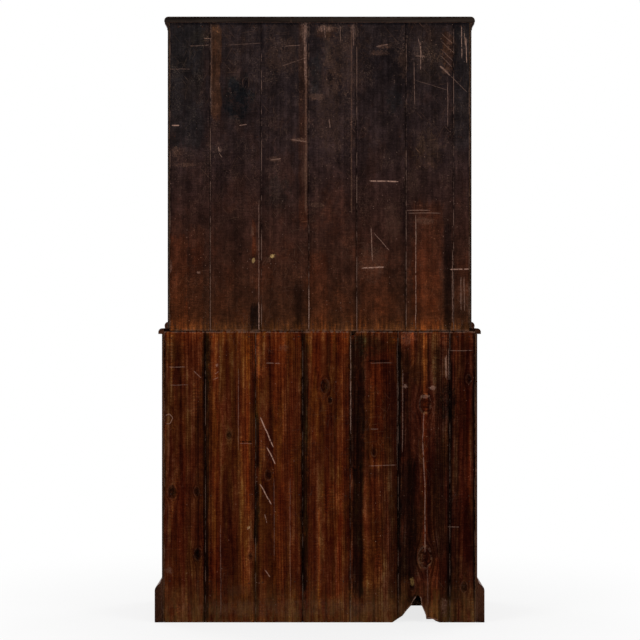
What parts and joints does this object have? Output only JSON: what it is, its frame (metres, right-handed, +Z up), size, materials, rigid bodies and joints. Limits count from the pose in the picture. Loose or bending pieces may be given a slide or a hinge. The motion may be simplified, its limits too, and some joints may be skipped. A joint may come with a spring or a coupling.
{
  "type": "glazed pine dresser",
  "caption": "Two-part pine dresser: a glazed plate cupboard with shelves stands on a base with drawers over panelled doors, and has a matchboarded back.",
  "frame": {"origin": "on the floor, at the middle of the bounding box", "axes": "+Z up, the doors face -Y and the matchboarded back faces +Y"},
  "size_m": [1.089, 0.494, 2],
  "materials": {
    "dark_stained_pine": "dark brown stain under old wax, worn paler at the edges",
    "dark_back_boards": "near-black stained matchboards, dull and scratched",
    "reddish_back_boards": "reddish-brown rough-sawn matchboards with knots and dark strips, dull",
    "inside_pine": "bare old pine, mellowed, matt",
    "drawer_pine": "bare pine drawer linings, dry and matt",
    "turned_pine": "turned pine, dark stain and wax, rubbed by hands",
    "aged_brass": "aged brass, dull with darker hollows",
    "window_glass": "clear drawn window glass, slightly wavy"
  },
  "bodies": {
    "root": {"cornice_board": "dark_stained_pine", "cornice_moulding": "dark_stained_pine", "waist_moulding": "dark_stained_pine", "plinth_boards": "dark_stained_pine", "base_top": "dark_stained_pine", "upper_side_left": "dark_stained_pine", "upper_side_right": "dark_stained_pine", "base_side_left": "dark_stained_pine", "base_side_right": "dark_stained_pine", "upper_face_frame": "dark_stained_pine", "base_face_frame": "dark_stained_pine", "plate_cupboard_floor": "inside_pine", "plate_shelves": "inside_pine", "cupboard_floor": "inside_pine", "cupboard_shelf": "inside_pine", "drawer_runners": "inside_pine", "drawer_kickers": "inside_pine", "glue_blocks": "inside_pine", "upper_back_board_1": "dark_back_boards", "upper_back_board_2": "dark_back_boards", "upper_back_board_3": "dark_back_boards", "upper_back_board_4": "dark_back_boards", "upper_back_board_5": "dark_back_boards", "upper_back_board_6": "dark_back_boards", "upper_back_board_7": "dark_back_boards", "lower_back_board_1": "reddish_back_boards", "lower_back_board_2": "reddish_back_boards", "lower_back_board_3": "reddish_back_boards", "lower_back_board_4": "reddish_back_boards", "lower_back_board_5": "reddish_back_boards", "lower_back_board_6": "reddish_back_boards", "lower_back_board_7": "reddish_back_boards", "hinge_frame_leaves": "aged_brass", "hinge_pins": "aged_brass"},
    "upper_left_door": {"upper_left_door_frame": "dark_stained_pine", "upper_left_door_glazing_bars": "dark_stained_pine", "upper_left_door_panes": "window_glass", "upper_left_door_hinge_leaves": "aged_brass", "upper_bolt_case": "aged_brass"},
    "lower_left_door": {"lower_left_door_frame": "dark_stained_pine", "lower_left_door_panel": "dark_stained_pine", "lower_left_door_hinge_leaves": "aged_brass", "lower_bolt_case": "aged_brass"},
    "left_drawer": {"left_drawer_front": "dark_stained_pine", "left_drawer_box": "drawer_pine", "left_drawer_knobs": "turned_pine"},
    "upper_right_door": {"upper_right_door_frame": "dark_stained_pine", "upper_right_door_glazing_bars": "dark_stained_pine", "upper_right_door_panes": "window_glass", "upper_right_door_hinge_leaves": "aged_brass"},
    "lower_right_door": {"lower_right_door_frame": "dark_stained_pine", "lower_right_door_panel": "dark_stained_pine", "lower_right_door_hinge_leaves": "aged_brass"},
    "right_drawer": {"right_drawer_front": "dark_stained_pine", "right_drawer_box": "drawer_pine", "right_drawer_knobs": "turned_pine"},
    "upper_catch": {"upper_catch": "aged_brass"},
    "upper_bolt": {"upper_bolt_rod": "aged_brass"},
    "lower_catch": {"lower_catch": "aged_brass"},
    "lower_bolt": {"lower_bolt_rod": "aged_brass"}
  },
  "joints": [
    {"name": "upper_left_door_hinge", "type": "hinge", "parent": "root", "child": "upper_left_door", "pos_m": [-0.4555, -0.0828, 0.994], "axis": [0, 0, -1], "range_deg": [0, 165]},
    {"name": "upper_right_door_hinge", "type": "hinge", "parent": "root", "child": "upper_right_door", "pos_m": [0.4555, -0.0828, 0.994], "axis": [0, 0, 1], "range_deg": [0, 165]},
    {"name": "lower_left_door_hinge", "type": "hinge", "parent": "root", "child": "lower_left_door", "pos_m": [-0.4745, -0.2178, 0.144], "axis": [0, 0, -1], "range_deg": [0, 165]},
    {"name": "lower_right_door_hinge", "type": "hinge", "parent": "root", "child": "lower_right_door", "pos_m": [0.4745, -0.2178, 0.144], "axis": [0, 0, 1], "range_deg": [0, 165]},
    {"name": "left_drawer_slide", "type": "slide", "parent": "root", "child": "left_drawer", "axis": [0, -1, 0], "range_m": [0, 0.3]},
    {"name": "right_drawer_slide", "type": "slide", "parent": "root", "child": "right_drawer", "axis": [0, -1, 0], "range_m": [0, 0.3]},
    {"name": "upper_catch_turn", "type": "hinge", "parent": "upper_right_door", "child": "upper_catch", "pos_m": [0.0235, -0.078, 1.461], "axis": [0, -1, 0], "range_deg": [0, 90]},
    {"name": "upper_bolt_slide", "type": "slide", "parent": "upper_left_door", "child": "upper_bolt", "axis": [0, 0, -1], "range_m": [0, 0.013]},
    {"name": "lower_catch_turn", "type": "hinge", "parent": "lower_right_door", "child": "lower_catch", "pos_m": [0.029, -0.213, 0.44], "axis": [0, -1, 0], "range_deg": [0, 90]},
    {"name": "lower_bolt_slide", "type": "slide", "parent": "lower_left_door", "child": "lower_bolt", "axis": [0, 0, -1], "range_m": [0, 0.013]}
  ]
}
